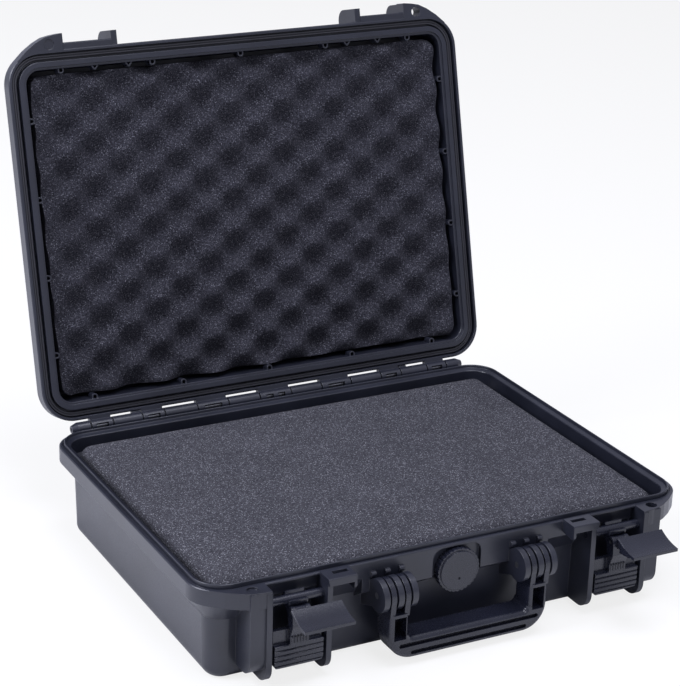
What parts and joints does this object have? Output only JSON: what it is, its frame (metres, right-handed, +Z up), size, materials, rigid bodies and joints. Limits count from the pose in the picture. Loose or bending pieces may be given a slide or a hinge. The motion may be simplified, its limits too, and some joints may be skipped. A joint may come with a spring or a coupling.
{
  "type": "microphone case",
  "caption": "Hard plastic carrying case with a hinged lid, hook latches, folding handle, purge valve, padlock holes, flat foam in the base and egg-crate foam in the lid.",
  "frame": {"origin": "middle of the base's flat underside", "axes": "+X to the right across the front, +Y from the front (handle) to the back (hinge), +Z up"},
  "size_m": [0.411, 0.4811, 0.3892],
  "materials": {
    "shell_plastic": "fine moulded grain, satin",
    "fitting_plastic": "smooth moulded, satin",
    "seal_rubber": "matte",
    "steel": "plain",
    "membrane": "white vent membrane",
    "base_foam": "open-cell foam, speckled",
    "lid_foam": "open-cell egg-crate foam"
  },
  "bodies": {
    "base": {"base_shell": "shell_plastic", "hinge_pin_left": "steel", "hinge_pin_right": "steel", "latch_rod_left": "fitting_plastic", "latch_rod_right": "fitting_plastic", "handle_pin_left": "steel", "handle_pin_right": "steel", "valve_body": "fitting_plastic", "valve_seal": "seal_rubber", "valve_nut": "fitting_plastic", "valve_membrane": "membrane", "base_foam_block": "base_foam", "base_foam_pad": "base_foam"},
    "lid": {"lid_shell": "shell_plastic", "lid_gasket": "seal_rubber", "lid_foam": "lid_foam"},
    "lever_left": {"latch_lever_left": "fitting_plastic", "hook_pin_left": "steel"},
    "hook_left": {"latch_hook_left": "fitting_plastic"},
    "lever_right": {"latch_lever_right": "fitting_plastic", "hook_pin_right": "steel"},
    "hook_right": {"latch_hook_right": "fitting_plastic"},
    "grip": {"handle": "fitting_plastic"},
    "knob": {"purge_knob": "fitting_plastic"}
  },
  "joints": [
    {"name": "lid_hinge", "type": "hinge", "parent": "base", "child": "lid", "pos_m": [0, 0.15706, 0.0787], "axis": [1, 0, 0], "range_deg": [0, 104.1]},
    {"name": "latch_lever_left_swing", "type": "hinge", "parent": "base", "child": "lever_left", "pos_m": [-0.135, -0.155, 0.0655], "axis": [1, 0, 0], "range_deg": [-100, 0]},
    {"name": "latch_hook_left_swing", "type": "hinge", "parent": "lever_left", "child": "hook_left", "pos_m": [-0.135, -0.1625, 0.0585], "axis": [-1, 0, 0], "range_deg": [0, 75]},
    {"name": "latch_lever_right_swing", "type": "hinge", "parent": "base", "child": "lever_right", "pos_m": [0.135, -0.155, 0.0655], "axis": [1, 0, 0], "range_deg": [-100, 0]},
    {"name": "latch_hook_right_swing", "type": "hinge", "parent": "lever_right", "child": "hook_right", "pos_m": [0.135, -0.1625, 0.0585], "axis": [-1, 0, 0], "range_deg": [0, 75]},
    {"name": "handle_swing", "type": "hinge", "parent": "base", "child": "grip", "pos_m": [0, -0.1615, 0.0562], "axis": [-1, 0, 0], "range_deg": [0, 100]},
    {"name": "purge_knob_turn", "type": "hinge", "parent": "base", "child": "knob", "pos_m": [0, -0.155, 0.0577], "axis": [0, -1, 0], "range_deg": [0, 180]}
  ]
}
